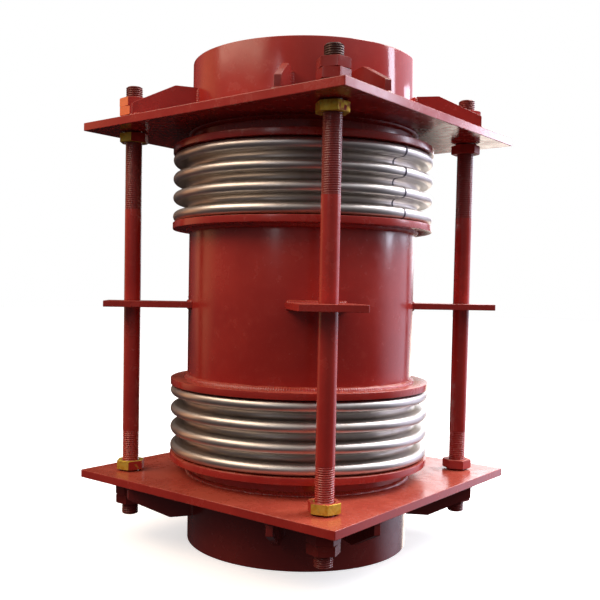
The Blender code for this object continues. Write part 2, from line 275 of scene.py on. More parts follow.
def around(tree, radius):
    """Position unrolled about Z: distance along the circumference, then height, then radius."""
    xyz = add(tree, "ShaderNodeSeparateXYZ", {0: place(tree)}).outputs
    angle = maths(tree, "ARCTAN2", xyz["Y"], xyz["X"])
    squares = [times(tree, xyz[axis], xyz[axis]) for axis in "XY"]
    out = maths(tree, "SQRT", plus(tree, *squares))
    along = times(tree, angle, radius)
    return add(tree, "ShaderNodeCombineXYZ", {0: along, 1: xyz["Z"], 2: out}).outputs[0]


def edges(tree, width):
    """1 along an edge that stands out or is broken, and 0 on the faces beside it."""
    soft = add(tree, "ShaderNodeBevel", {"Radius": width}, samples=4).outputs[0]
    return spread(tree, facing(tree, soft), 0.985, 0.90)


def facing(tree, side):
    """The cosine of the angle between the surface's outward direction and a given one."""
    return cosine(tree, add(tree, "ShaderNodeNewGeometry").outputs["Normal"], side)


def bump(tree, height, strength, distance, before=None):
    values = {"Strength": strength, "Distance": distance, "Height": height}
    if before is not None:
        values["Normal"] = before
    return add(tree, "ShaderNodeBump", values).outputs[0]


def start_material(name):
    made = bpy.data.materials.new(name)
    made.use_nodes = True
    tree = made.node_tree
    return made, tree, tree.nodes["Principled BSDF"]


def dress(tree, shader, colour, rough, normal, **more):
    """Give a shader its colour, roughness and bump, and any other inputs by name."""
    plug(tree, shader, {"Base Color": colour, "Roughness": rough, "Normal": normal, **more})


# ---------------------------------------------------------------- materials

PAINT = (0.440, 0.0340, 0.0240, 1.0)
PAINT_DEEP = (0.370, 0.0250, 0.0190, 1.0)
PAINT_CHALKY = (0.490, 0.0550, 0.0370, 1.0)
PAINT_SCUFF = (0.560, 0.2100, 0.1600, 1.0)
PAINT_DUSTY = (0.590, 0.2000, 0.1150, 1.0)
# Painted shade: dark red laid where shadow falls, below the bottom plate, round the front top nuts and
# up the rods' upper ends
PAINT_PAINTED_SHADE = (0.100, 0.0220, 0.0200, 1.0)
# Painted light: warm orange laid on the faces of the top left outer nuts that look left
PAINT_PAINTED_LIGHT = (0.860, 0.2400, 0.0950, 1.0)
PRIMER = (0.120, 0.0500, 0.0360, 1.0)
RUST = (0.230, 0.0800, 0.0400, 1.0)
THREAD_DARK = (0.030, 0.0160, 0.0130, 1.0)
THREAD_WORN = (0.130, 0.0750, 0.0650, 1.0)
STEEL = (0.560, 0.5300, 0.5000, 1.0)
STEEL_PALE = (0.680, 0.6550, 0.6300, 1.0)
STEEL_STAIN = (0.430, 0.3600, 0.2900, 1.0)
# Painted shade for the roots of the bellows
STEEL_PAINTED_SHADE = (0.300, 0.2400, 0.1900, 1.0)
SEAM_TINT = (0.460, 0.4200, 0.4600, 1.0)
SEAM_DARK = (0.035, 0.0300, 0.0400, 1.0)
ZINC = (0.620, 0.3900, 0.0350, 1.0)
ZINC_PALE = (0.720, 0.5600, 0.0900, 1.0)
ZINC_GREEN = (0.300, 0.3300, 0.1100, 1.0)

# Each lock nut's share of overspray, the azimuth and elevation it came from, and how it shines
NUT_SPRAY = {
    "top_front": (0.34, 110.0, 20.0, 0.15),
    "top_left": (0.50, 80.0, 0.0, 0.15),
    "top_right": (1.00, 0.0, 0.0, 0.15),
    "top_rear": (0.50, 0.0, 0.0, 0.15),
    "bottom_front": (0.32, -95.0, 40.0, 0.15),
    "bottom_left": (0.40, 90.0, 0.0, 0.15),
    "bottom_right": (0.95, 0.0, 0.0, 0.70),
    "bottom_rear": (0.50, 0.0, 0.0, 0.15),
}


def paint_layers(tree, fine=1.0, ripple=0.08):
    """Colour, roughness and bump of brushed oxide-red enamel, dusty on the faces that look up, with
    painted shade.
    """
    here = place(tree)
    clouds = noise(tree, here, 9.0, 4.0, 0.55)
    mottle = noise(tree, here, 55.0, 5.0, 0.6)
    runs = noise(tree, stretched(tree, here, (90.0, 90.0, 7.0)), 1.0, 4.0, 0.55)
    peel = noise(tree, here, 260.0 * fine, 2.0, 0.5)
    specks = noise(tree, here, 620.0 * fine, 2.0, 0.6)
    colour = mix(tree, spread(tree, clouds, 0.35, 0.68), PAINT_DEEP, PAINT)
    colour = mix(tree, spread(tree, mottle, 0.50, 0.78, 0.0, 0.38), colour, PAINT_CHALKY)
    colour = mix(tree, spread(tree, runs, 0.54, 0.80, 0.0, 0.30), colour, PAINT_DEEP)
    scuff_at = times(tree, edges(tree, 0.0022), spread(tree, mottle, 0.50, 0.66))
    colour = mix(tree, times(tree, scuff_at, 0.35), colour, PAINT_SCUFF)
    dust = times(tree, spread(tree, specks, 0.66, 0.74), 0.35)
    colour = mix(tree, dust, colour, PAINT_SCUFF)
    settled = spread(tree, facing(tree, (0.0, 0.0, 1.0)), 0.5, 0.9)
    settled = times(tree, settled, spread(tree, clouds, 0.3, 0.7, 0.22, 0.36))
    colour = mix(tree, settled, colour, PAINT_DUSTY)
    # Painted shade below the bottom plate and round the front top nuts
    colour = mix(tree, painted_shade_mask(tree), colour, PAINT_PAINTED_SHADE)
    dull = times(tree, spread(tree, mottle, 0.35, 0.75), 0.10)
    dull = plus(tree, dull, times(tree, settled, 0.16))
    rough = plus(tree, spread(tree, clouds, 0.3, 0.7, 0.16, 0.23), dull)
    rough = plus(tree, rough, times(tree, scuff_at, 0.25))
    raised = plus(tree, times(tree, runs, 0.5), times(tree, peel, 0.35))
    normal = bump(tree, raised, ripple, 0.0005)
    return colour, rough, normal


def painted_shade_mask(tree):
    """Painted shade: where the paint is darkened below the bottom plate and round the front top nuts.
    """
    height = height_at_rest(tree)
    low = MIDDLE - PLATE_FAR
    high = MIDDLE + PLATE_FAR
    below = spread(tree, height, low + 0.0005, low - 0.0020, 0.0, 0.60)
    corner = (*on_circle(ROD_CIRCLE, CORNERS["front"]), high + 2 * NUT_HEIGHT)
    values = {0: place(tree), 1: corner}
    away = add(tree, "ShaderNodeVectorMath", values, operation="DISTANCE").outputs["Value"]
    near = spread(tree, away, 0.150, 0.080, 0.0, 0.50)
    near = times(tree, near, spread(tree, height, high - 0.0020, high + 0.0005))
    return maths(tree, "MAXIMUM", below, near)


def red_paint(name, ripple=0.08, shine=0.5):
    """Oxide-red enamel over steel plate, brushed on, with dust in it and scuffed edges."""
    made, tree, shader = start_material(name)
    colour, rough, normal = paint_layers(tree, 1.0, ripple)
    dress(tree, shader, colour, rough, normal, **{"Specular IOR Level": shine})
    return made


def left_lit_paint(name, side):
    """Enamel with painted warm light: orange where the surface faces side."""
    made, tree, shader = start_material(name)
    colour, rough, normal = paint_layers(tree, 1.4)
    # Painted warm light on the faces that look towards side
    left_lit = spread(tree, facing(tree, side), 0.45, 0.70)
    colour = mix(tree, left_lit, colour, PAINT_PAINTED_LIGHT)
    dress(tree, shader, colour, rough, normal)
    return made


def pipe_paint():
    """The same enamel outside a pipe, and dull primer with a bloom of rust inside it.

    The coat is glossiest above the top plate, on the front and the right.
    """
    made, tree, shader = start_material("oxide_red_pipe_paint")
    colour, rough, normal = paint_layers(tree)
    rolled = around(tree, PIPE_RADIUS)
    parts = add(tree, "ShaderNodeSeparateXYZ", {0: rolled}).outputs
    inside = spread(tree, parts["Z"], PIPE_RADIUS - 0.0070, PIPE_RADIUS - 0.0085)
    high = MIDDLE + PLATE_FAR
    gloss = spread(tree, parts["Y"], high - 0.0020, high, 0.0, 0.55)
    gloss = times(tree, gloss, spread(tree, facing(tree, towards(60.0, 0.0)), 0.20, 0.45))
    rough = times(tree, rough, minus(tree, 1.0, gloss))
    rust = noise(tree, place(tree), 38.0, 6.0, 0.65)
    primer = mix(tree, spread(tree, rust, 0.42, 0.62), PRIMER, RUST)
    colour = mix(tree, inside, colour, primer)
    dress(tree, shader, colour, plus(tree, rough, times(tree, inside, 0.35)), normal)
    return made


def weld_paint():
    """Enamel over weld beads and spatter: thinner on the ripples, where it shines."""
    made, tree, shader = start_material("painted_weld")
    colour, rough, normal = paint_layers(tree, 1.6)
    grains = noise(tree, place(tree), 420.0, 3.0, 0.6)
    colour = mix(tree, spread(tree, grains, 0.60, 0.72, 0.0, 0.5), colour, PAINT_SCUFF)
    normal = bump(tree, grains, 0.5, 0.0005, normal)
    dress(tree, shader, colour, times(tree, rough, 0.8), normal)
    return made


def rod_paint(name, clean):
    """Enamel on a rod: painted shade from the start of the upper thread upwards, and rubbed off its end
    by a share.
    """
    made, tree, shader = start_material(name)
    colour, rough, normal = paint_layers(tree, 1.4)
    height = height_at_rest(tree)
    ragged = times(tree, noise(tree, place(tree), 160.0, 3.0), 0.004)
    line = MIDDLE + PLATE_FAR + WASHER_FACE_OUT + OUTER_NUT_GAP + 2 * NUT_HEIGHT
    bare = spread(tree, plus(tree, height, ragged), line + 0.0015, line + 0.0030)
    bare = times(tree, bare, clean)
    # Painted shade on the rod, from the start of the upper thread upwards
    start = MIDDLE + TOP_THREAD_START
    thread_shade = spread(tree, height, start, MIDDLE + PLATE_NEAR, 0.50, 0.62)
    thread_shade = times(tree, thread_shade, maths(tree, "GREATER_THAN", height, start + 0.002))
    colour = mix(tree, thread_shade, colour, PAINT_PAINTED_SHADE)
    oxide = noise(tree, place(tree), 300.0, 4.0, 0.7)
    steel = mix(tree, oxide, THREAD_DARK, THREAD_WORN)
    colour = mix(tree, bare, colour, steel)
    rough = plus(tree, rough, times(tree, bare, 0.12))
    dress(tree, shader, colour, rough, normal, Metallic=times(tree, bare, 0.7))
    return made


def stainless_steel():
    """Satin stainless sheet: drawn lines round the convolutions, a seam, a little heat tint, and
    painted shade in the roots.
    """
    made, tree, shader = start_material("satin_stainless")
    rolled = around(tree, CREST_RADIUS)
    parts = add(tree, "ShaderNodeSeparateXYZ", {0: rolled}).outputs
    lines = noise(tree, stretched(tree, rolled, (9.0, 900.0, 900.0)), 1.0, 4.0, 0.6)
    broad = noise(tree, stretched(tree, rolled, (5.0, 60.0, 60.0)), 1.0, 3.0, 0.5)
    stains = noise(tree, place(tree), 26.0, 5.0, 0.6, 0.4)
    grease = noise(tree, place(tree), 85.0, 4.0, 0.6)
    seam = maths(tree, "ABSOLUTE", minus(tree, parts["X"], SEAM_ANGLE * CREST_RADIUS))
    upper = maths(tree, "GREATER_THAN", parts["Y"], MIDDLE)
    ragged = times(tree, minus(tree, grease, 0.5), 0.004)
    seam = plus(tree, seam, ragged)
    seam_line = times(tree, spread(tree, seam, 0.0030, 0.0018), upper)
    seam_tint = times(tree, spread(tree, seam, 0.0110, 0.0020), upper)
    # Painted shade: the steel darkens towards the roots of the convolutions
    root_shade = spread(tree, parts["Z"], CREST_RADIUS - 0.012, ROOT_RADIUS + 0.002)
    colour = mix(tree, spread(tree, broad, 0.35, 0.65), STEEL, STEEL_PALE)
    colour = mix(tree, spread(tree, stains, 0.52, 0.75, 0.0, 0.45), colour, STEEL_STAIN)
    colour = mix(tree, times(tree, root_shade, 0.45), colour, STEEL_PAINTED_SHADE)
    colour = mix(tree, times(tree, seam_tint, 0.35), colour, SEAM_TINT)
    colour = mix(tree, times(tree, seam_line, 0.92), colour, SEAM_DARK)
    rough = spread(tree, lines, 0.3, 0.7, 0.35, 0.41)
    rough = plus(tree, rough, spread(tree, grease, 0.5, 0.8, 0.0, 0.07))
    rough = plus(tree, rough, times(tree, seam_line, 0.18))
    drawn = bump(tree, lines, 0.04, 0.0002)
    normal = bump(tree, seam_line, 0.5, 0.0004, drawn)
    dress(tree, shader, colour, rough, normal, Metallic=1.0)
    return made


def nut_finish(name, cover, side, shine):
    """Yellow zinc under a share of red overspray, heaviest where the surface faces side."""
    made, tree, shader = start_material(name)
    colour, rough, normal = paint_layers(tree, 1.6)
    here = place(tree)
    swirl = noise(tree, here, 70.0, 3.0, 0.6, 1.5)
    zinc = mix(tree, spread(tree, swirl, 0.35, 0.65), ZINC, ZINC_PALE)
    green = noise(tree, here, 130.0, 2.0, 0.5, 0.8)
    zinc = mix(tree, spread(tree, green, 0.55, 0.75, 0.0, 0.5), zinc, ZINC_GREEN)
    ragged = times(tree, minus(tree, noise(tree, here, 110.0, 5.0, 0.7), 0.5), 1.6)
    sprayed = plus(tree, facing(tree, side), ragged)
    sprayed = spread(tree, sprayed, 1.0 - 2.0 * cover, 1.25 - 2.0 * cover)
    metal = minus(tree, 0.55, times(tree, sprayed, 0.55))
    more = {"Metallic": metal, "Specular IOR Level": shine}
    dress(tree, shader, mix(tree, sprayed, zinc, colour), plus(tree, rough, 0.24), normal, **more)
    return made


def floor_finish():
    """Pale matt floor with the faintest mottle."""
    made, tree, shader = start_material("pale_floor")
    grain = noise(tree, place(tree), 3.0, 3.0)
    colour = mix(tree, grain, FLOOR_DULL, FLOOR_PALE)
    plug(tree, shader, {"Base Color": colour, "Roughness": 0.9})
    plug(tree, shader, {"Emission Color": WHITE, "Emission Strength": 0.62})
    return made


# ---------------------------------------------------------------- mesh helpers


def rounded(corners, radius, steps=3):
    """A closed outline with each corner turned into a short arc."""
    outline = []
    for number, corner in enumerate(corners):
        here = Vector(corner)
        before = Vector(corners[number - 1]) - here
        after = Vector(corners[(number + 1) % len(corners)]) - here
        reach = min(radius, 0.45 * before.length, 0.45 * after.length)
        first = here + before.normalized() * reach
        last = here + after.normalized() * reach
        for step in range(steps + 1):
            share = step / steps
            near = first.lerp(here, share)
            outline.append(tuple(near.lerp(here.lerp(last, share), share)))
    return outline


def put(name, data):
    """A new object in the scene."""
    thing = bpy.data.objects.new(name, data)
    bpy.context.scene.collection.objects.link(thing)
    return thing


def circle(sides):
    """Evenly spaced points round a circle of radius 1."""
    return [(math.cos(angle), math.sin(angle)) for angle in turn_angles(sides)]


def turn_angles(count):
    """Evenly spaced angles round a full turn."""
    return np.linspace(0.0, math.tau, count, endpoint=False)


def new_piece(name, points, faces, skin, sharp=SHARP):
    """A closed mesh object with outward faces."""
    mesh = bpy.data.meshes.new(name)
    mesh.from_pydata([tuple(point) for point in points], [], faces)
    shape = bmesh.new()
    shape.from_mesh(mesh)
    bmesh.ops.recalc_face_normals(shape, faces=shape.faces)
    shape.to_mesh(mesh)
    shape.free()
    mesh.materials.append(skin)
    mesh.shade_smooth()
    mesh.set_sharp_from_angle(angle=sharp)
    return put(name, mesh)


def grid_faces(rows, columns, closed_rows=True, first=0):
    """Quads over a grid whose columns always meet round, and whose rows may."""
    faces = []
    for row in range(rows if closed_rows else rows - 1):
        after = (row + 1) % rows
        for column in range(columns):
            beside = (column + 1) % columns
            corners = (row, column), (row, beside), (after, beside), (after, column)
            faces.append(tuple(first + r * columns + c for r, c in corners))
    return faces


def lathe(name, outline, skin, at=(0.0, 0.0), sides=ROUND_SIDES, sharp=SHARP):
    """A closed outline of (radius, height) points turned about an upright line."""
    points = [
        (at[0] + radius * c, at[1] + radius * s, height)
        for radius, height in outline
        for c, s in circle(sides)
    ]
    return new_piece(name, points, grid_faces(len(outline), sides), skin, sharp)


def slab(name, walls, skin, matrix=None):
    """A flat piece given by its walls: lists of loops from the top face down to the bottom one.

    The first wall is the outside and the others are holes.
    """
    shape = bmesh.new()
    rims = ([], [])
    for loops in walls:
        rings = [[shape.verts.new(point) for point in loop] for loop in loops]
        for upper, lower in zip(rings, rings[1:]):
            for number, corner in enumerate(upper):
                after = (number + 1) % len(upper)
                shape.faces.new((corner, upper[after], lower[after], lower[number]))
        for rim, ring in zip(rims, (rings[0], rings[-1])):
            for corner, after in zip(ring, ring[1:] + ring[:1]):
                rim.append(shape.edges.get((corner, after)))
    for rim in rims:
        bmesh.ops.triangle_fill(shape, edges=rim, use_beauty=True, use_dissolve=False)
    if matrix is not None:
        bmesh.ops.transform(shape, matrix=matrix, verts=shape.verts)
    bmesh.ops.recalc_face_normals(shape, faces=shape.faces)
    points = [tuple(vert.co) for vert in shape.verts]
    shape.verts.index_update()
    faces = [tuple(vert.index for vert in face.verts) for face in shape.faces]
    shape.free()
    return new_piece(name, points, faces, skin)


def inset(outline, distance):
    """An outline moved towards its inside by a distance. The outline runs anticlockwise."""
    moved = []
    for number, corner in enumerate(outline):
        here = Vector(corner)
        arrive = (here - Vector(outline[number - 1])).normalized()
        leave = (Vector(outline[(number + 1) % len(outline)]) - here).normalized()
        normal = Vector((-arrive.y - leave.y, arrive.x + leave.x)).normalized()
        reach = distance / max(normal.dot(Vector((-leave.y, leave.x))), 0.4)
        moved.append(tuple(here + normal * reach))
    return moved


# How an edge is broken, as shares of its size: in from the side, and down from the face
EDGE_STEPS = ((1.0, 0.0), (0.42, 0.13), (0.13, 0.42), (0.0, 1.0))


def outside_wall(outline, top, bottom, edge):
    """The outside wall of a slab, with both of its edges broken."""
    loops = []
    for inward, down in EDGE_STEPS:
        loops.append([(x, y, top - down * edge) for x, y in inset(outline, inward * edge)])
    for inward, down in EDGE_STEPS[::-1]:
        loops.append([(x, y, bottom + down * edge) for x, y in inset(outline, inward * edge)])
    return loops


def hole_wall(centre, profile, sides):
    """A round hole through a slab: (radius, height) points from the top face down."""
    return [
        [(centre[0] + radius * c, centre[1] + radius * s, height) for c, s in circle(sides)]
        for radius, height in profile
    ]


def on_circle(radius, degrees):
    angle = math.radians(degrees)
    return radius * math.cos(angle), radius * math.sin(angle)


def upward(height):
    return Vector((0.0, 0.0, height))


def outward(angle):
    """The level direction at an angle round the axis, in radians."""
    return Vector((math.cos(angle), math.sin(angle), 0.0))


def turned(degrees, axis="Z"):
    return Matrix.Rotation(math.radians(degrees), 4, axis)


def settle(thing, body, node):
    """Ride on a body and stand for a CAD node."""
    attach(thing, body)
    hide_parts(node)


# ---------------------------------------------------------------- pipes and rings


def pipe(name, outer, low, high, skin):
    inner = outer - PIPE_WALL
    corners = [(inner, low), (outer, low), (outer, high), (inner, high)]
    return lathe(name, rounded(corners, PIPE_CHAMFER), skin)


def ring(name, sleeve_radius, low, high, skin):
    inner = sleeve_radius + BELLOWS_WALL + GAP
    corners = [(inner, low), (RING_RADIUS, low), (RING_RADIUS, high), (inner, high)]
    return lathe(name, rounded(corners, 0.0014), skin)


def add_pipes(paint, plain):
    """The three lengths of pipe and the four rings that back the bellows."""
    length = MIDDLE - END_RING_NEAR
    made = pipe("bottom_pipe", PIPE_RADIUS, 0.0, length, paint)
    settle(made, "bottom_end", "bottom_end_pipe")
    made = pipe("top_pipe", PIPE_RADIUS, HEIGHT - length, HEIGHT, paint)
    settle(made, "top_end", "top_end_pipe")
    made = pipe("spool", SPOOL_RADIUS, MIDDLE - SPOOL_RING_FAR, MIDDLE + SPOOL_RING_FAR, paint)
    settle(made, "spool", "spool_pipe")
    for level, way in LEVELS.items():
        ends = sorted((MIDDLE + way * END_RING_NEAR, MIDDLE + way * END_RING_FAR))
        made = ring(f"{level}_ring", PIPE_RADIUS + GAP, *ends, plain)
        settle(made, f"{level}_end", f"{level}_end_ring")
        word = "upper" if way > 0 else "lower"
        ends = sorted((MIDDLE + way * SPOOL_RING_NEAR, MIDDLE + way * SPOOL_RING_FAR))
        made = ring(f"{word}_spool_ring", SPOOL_RADIUS + GAP, *ends, plain)
        settle(made, "spool", f"spool_{word}_ring")


# ---------------------------------------------------------------- bellows


def half_bellows_line(sleeve):
    """The middle of the wall, from under a ring to the root at the bellows' middle.

    Each point is (radius, distance from the ring's face). Two convolutions and a half root.
    """
    half_wall = BELLOWS_WALL / 2
    crest_centre = CREST_RADIUS - half_wall - CREST_ARC
    root_centre = ROOT_RADIUS - half_wall + ROOT_ARC
    start = FIRST_CREST - CREST_ARC
    cuff = [(sleeve, END_RING_NEAR - END_RING_FAR), (sleeve, start - 0.0012)]
    line = cuff + [(sleeve + 0.0004, start - 0.0004), (sleeve + 0.0014, start)]
    half_turn = np.linspace(0.0, math.pi, ARC_STEPS + 1)
    for number in range(2):
        crest = FIRST_CREST + PITCH * number
        root = crest + PITCH / 2
        for angle in half_turn:
            out = crest_centre + CREST_ARC * math.sin(angle)
            line.append((out, crest - CREST_ARC * math.cos(angle)))
        last = math.pi if number == 0 else math.pi / 2
        for angle in half_turn[half_turn <= last + 1e-9]:
            out = root_centre - ROOT_ARC * math.sin(angle)
            line.append((out, root - ROOT_ARC * math.cos(angle)))
    return line


def thicken(line, thickness):
    """A closed outline round an open line, half the thickness to each side of it."""
    points = np.array(line)
    ahead = np.gradient(points, axis=0)
    ahead /= np.linalg.norm(ahead, axis=1)[:, None]
    ahead[-1] = (0.0, 1.0)
    ahead[0] = (0.0, 1.0)
    normal = np.stack([ahead[:, 1], -ahead[:, 0]], axis=1) * thickness / 2
    return [*map(tuple, points + normal), *map(tuple, (points - normal)[::-1])]


def half_bellows(name, sleeve, ring_face, way, skin):
    """Half of a bellows, from a ring's face towards the bellows' middle."""
    outline = thicken(half_bellows_line(sleeve), BELLOWS_WALL)
    placed = [(radius, ring_face + way * along) for radius, along in outline]
    return lathe(name, placed, skin, (0.0, 0.0), BELLOWS_SIDES, math.radians(45.0))


def add_bellows(skin):
    """Each bellows is two halves, which meet at its middle and reach to the pieces at its ends."""
    half_wall = BELLOWS_WALL / 2
    spool_sleeve = SPOOL_RADIUS + GAP + half_wall
    end_sleeve = PIPE_RADIUS + GAP + half_wall
    for word, level, way in (("lower", "bottom", -1), ("upper", "top", 1)):
        spool_face = MIDDLE + way * SPOOL_RING_FAR
        end_face = MIDDLE + way * END_RING_NEAR
        near = half_bellows(f"{word}_bellows_spool_half", spool_sleeve, spool_face, way, skin)
        far = half_bellows(f"{word}_bellows_end_half", end_sleeve, end_face, -way, skin)
        if way < 0:
            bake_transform(far)
            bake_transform(near)
        else:
            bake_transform(near)
            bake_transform(far)
        for half in (near, far):
            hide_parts(f"{word}_bellows")


# ---------------------------------------------------------------- plates, gussets and lugs


def add_plate(level, way, paint):
    """A flame-cut tie plate with the pipe's hole and four conical rod seats."""
    half = PLATE_HALF_SIDE
    outer = MIDDLE + way * PLATE_FAR
    inner = MIDDLE + way * PLATE_NEAR
    top, bottom = max(outer, inner), min(outer, inner)
    square_outline = rounded([(-half, -half), (half, -half), (half, half), (-half, half)], 0.0025)
    walls = [outside_wall(square_outline, top, bottom, 0.0011)]
    hole = PIPE_RADIUS + GAP
    walls.append(hole_wall((0.0, 0.0), [(hole, top), (hole, bottom)], 96))
    seat = [
        (SEAT_HOLE_RADIUS, outer),
        (ROD_HOLE_RADIUS, outer - way * SEAT_DEPTH),
        (ROD_HOLE_RADIUS, inner + way * 0.0008),
        (ROD_HOLE_RADIUS + 0.0008, inner),
    ]
    for degrees in CORNERS.values():
        profile = seat if way > 0 else seat[::-1]
        walls.append(hole_wall(on_circle(ROD_CIRCLE, degrees), profile, 40))
    made = slab(f"{level}_plate", walls, paint)
    settle(made, f"{level}_end", f"{level}_tie_plate")


def add_gussets(level, way, paint):
    """Two flame-cut gussets beside each tie rod, standing on the plate's outer face."""
    back = PIPE_RADIUS + 2 * GAP
    corners = [
        (back, GAP),
        (GUSSET_TIP_RADIUS, GAP),
        (GUSSET_TIP_RADIUS, GUSSET_TIP_HEIGHT),
        (GUSSET_KNEE_RADIUS, GUSSET_KNEE_HEIGHT),
        (back, GUSSET_KNEE_HEIGHT),
    ]
    outline = rounded(corners, 0.0020)
    half = GUSSET_THICKNESS / 2
    face = MIDDLE + way * PLATE_FAR
    for corner, degrees in CORNERS.items():
        for side, spread_by in (("a", -GUSSET_SPREAD), ("b", GUSSET_SPREAD)):
            flip = Matrix.Scale(way, 4, (0.0, 0.0, 1.0))
            stood = turned(degrees + spread_by) @ flip @ turned(90.0, "X")
            matrix = Matrix.Translation(upward(face)) @ stood
            walls = [outside_wall(outline, half, -half, 0.0009)]
            made = slab(f"{level}_gusset_plate_{corner}_{side}", walls, paint, matrix)
            settle(made, f"{level}_end", f"{level}_gusset_{corner}_{side}")


def lug_height(corner):
    """The height of a lug's middle, which the welder didn't hold to a millimetre."""
    low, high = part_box(f"spool_lug_{corner}")
    return (low.z + high.z) / 2


def add_lugs(paint):
    """Four lugs on the spool, each with a clearance hole for its rod."""
    root = SPOOL_RADIUS + GAP
    reach = math.asin(LUG_HALF_WIDTH / root)
    arc = [on_circle(root, math.degrees(angle)) for angle in np.linspace(reach, -reach, 13)]
    tip = rounded(
        [arc[-1], (LUG_TIP_RADIUS, -LUG_HALF_WIDTH), (LUG_TIP_RADIUS, LUG_HALF_WIDTH), arc[0]], 0.0022
    )
    outer_corners = tip[4:12]
    outline = outer_corners + arc
    half = LUG_THICKNESS / 2
    edge = 0.0008
    hole = [
        (LUG_HOLE_RADIUS + edge, half),
        (LUG_HOLE_RADIUS, half - edge),
        (LUG_HOLE_RADIUS, edge - half),
        (LUG_HOLE_RADIUS + edge, -half),
    ]
    for corner, degrees in CORNERS.items():
        walls = [outside_wall(outline, half, -half, 0.0009)]
        walls.append(hole_wall((ROD_CIRCLE, 0.0), hole, 40))
        matrix = Matrix.Translation(upward(lug_height(corner))) @ turned(degrees)
        made = slab(f"guide_lug_{corner}", walls, paint, matrix)
        settle(made, "spool", f"spool_lug_{corner}")


# ---------------------------------------------------------------- welds


class Welds:
    """Weld beads and spatter for one body, gathered into one mesh of closed solids."""

    def __init__(self, seed):
        self.points = []
        self.faces = []
        self.random = np.random.default_rng(seed)

    def bead(self, path, first_way, second_way, leg, closed):
        """A fillet along a path: its two ways point from the corner along the faces it joins."""
        count = len(path)
        step = np.linalg.norm(path[1] - path[0])
        along = np.arange(count) * step
        total = count * step
        ripples = max(round(total / WELD_RIPPLE), 1)
        phase = along / total * ripples * math.tau
        size = 1.0 + 0.07 * np.sin(phase) + self.wander(count, closed, 0.10)
        if not closed:
            size *= np.clip(np.minimum(np.arange(count), np.arange(count)[::-1]) / 3.0 + 0.35, 0, 1)
        sunk = -0.0004
        section = [(sunk, sunk), (leg, sunk), (0.86 * leg, 0.30 * leg), (0.60 * leg, 0.60 * leg)]
        section += [(0.30 * leg, 0.86 * leg), (sunk, leg)]
        first = len(self.points)
        for here, one, two, scale in zip(path, first_way, second_way, size):
            for a, b in section:
                self.points.append(here + one * (a * scale) + two * (b * scale))
        columns = len(section)
        self.faces += grid_faces(count, columns, closed, first)
        if not closed:
            self.faces.append(tuple(range(first, first + columns)))
            end = first + (count - 1) * columns
            self.faces.append(tuple(range(end + columns - 1, end - 1, -1)))

    def wander(self, count, closed, amount):
        """A slow random change along a bead, the same at both ends of a closed one."""
        knots = self.random.uniform(-amount, amount, max(count // 9, 2))
        if closed:
            knots[-1] = knots[0]
        return np.interp(np.linspace(0, len(knots) - 1, count), np.arange(len(knots)), knots)

    def hoop(self, radius, height, way, leg, start=0.0, end=math.tau):
        """A bead round a pipe, on the side of a face that way points to."""
        closed = end - start >= math.tau
        count = max(int((end - start) * radius / WELD_STEP), 8)
        angles = np.linspace(start, end, count, endpoint=not closed)
        out = np.stack([np.cos(angles), np.sin(angles), np.zeros(count)], axis=1)
        up = np.tile((0.0, 0.0, float(way)), (count, 1))
        path = out * radius + np.array((0.0, 0.0, height))
        self.bead(path, out, up, leg, closed)

    def straight(self, start, end, one, two, leg):
        """A straight bead between two points."""
        start, end = np.array(start), np.array(end)
        count = max(int(np.linalg.norm(end - start) / WELD_STEP), 8)
        path = np.linspace(start, end, count)
        self.bead(path, np.tile(one, (count, 1)), np.tile(two, (count, 1)), leg, False)

    def spatter(self, centre, normal, size):
        """A flattened drop of weld metal stuck to a face."""
        normal = Vector(normal).normalized()
        side = normal.orthogonal()
        other = normal.cross(side)
        first = len(self.points)
        levels = ((1.0, -0.3), (0.92, 0.30), (0.55, 0.75))
        for radius, height in levels:
            for number in range(SPATTER_SIDES):
                angle = math.tau * number / SPATTER_SIDES
                flat = side * math.cos(angle) + other * math.sin(angle)
                point = Vector(centre) + (flat * radius + normal * height) * size
                self.points.append(np.array(point))
        self.points.append(np.array(Vector(centre) + normal * size))
        self.faces += grid_faces(len(levels), SPATTER_SIDES, False, first)
        self.faces.append(tuple(range(first, first + SPATTER_SIDES)))
        last = first + 2 * SPATTER_SIDES
        for number in range(SPATTER_SIDES):
            after = (number + 1) % SPATTER_SIDES
            self.faces.append((last + number, last + after, last + SPATTER_SIDES))

    def finish(self, name, body, skin):
        made = new_piece(name, self.points, self.faces, skin, math.radians(60.0))
        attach(made, body)


def weld_gusset(welds, degrees, way, face):
    """Both sides of a gusset, along the plate and up the pipe."""
    angle = math.radians(degrees)
    out = np.array((math.cos(angle), math.sin(angle), 0.0))
    up = np.array((0.0, 0.0, float(way)))
    for hand in (-1, 1):
        side = np.array((-math.sin(angle), math.cos(angle), 0.0)) * hand
        foot = side * (GUSSET_THICKNESS / 2) + np.array((0.0, 0.0, face))
        near = out * (PIPE_RADIUS + 0.004) + foot
        far = out * (GUSSET_TIP_RADIUS - 0.001) + foot
        welds.straight(near, far, side, up, GUSSET_FOOT_LEG)
        low = out * (PIPE_RADIUS - 0.0002) + foot + up * 0.004
        high = low + up * (GUSSET_KNEE_HEIGHT - 0.006)
        welds.straight(low, high, side, out, GUSSET_BACK_LEG)
    tip = out * GUSSET_TIP_RADIUS + np.array((0.0, 0.0, face))
    side = np.array((-math.sin(angle), math.cos(angle), 0.0)) * (GUSSET_THICKNESS / 2)
    welds.straight(tip - side, tip + side, out, up, GUSSET_TIP_LEG)


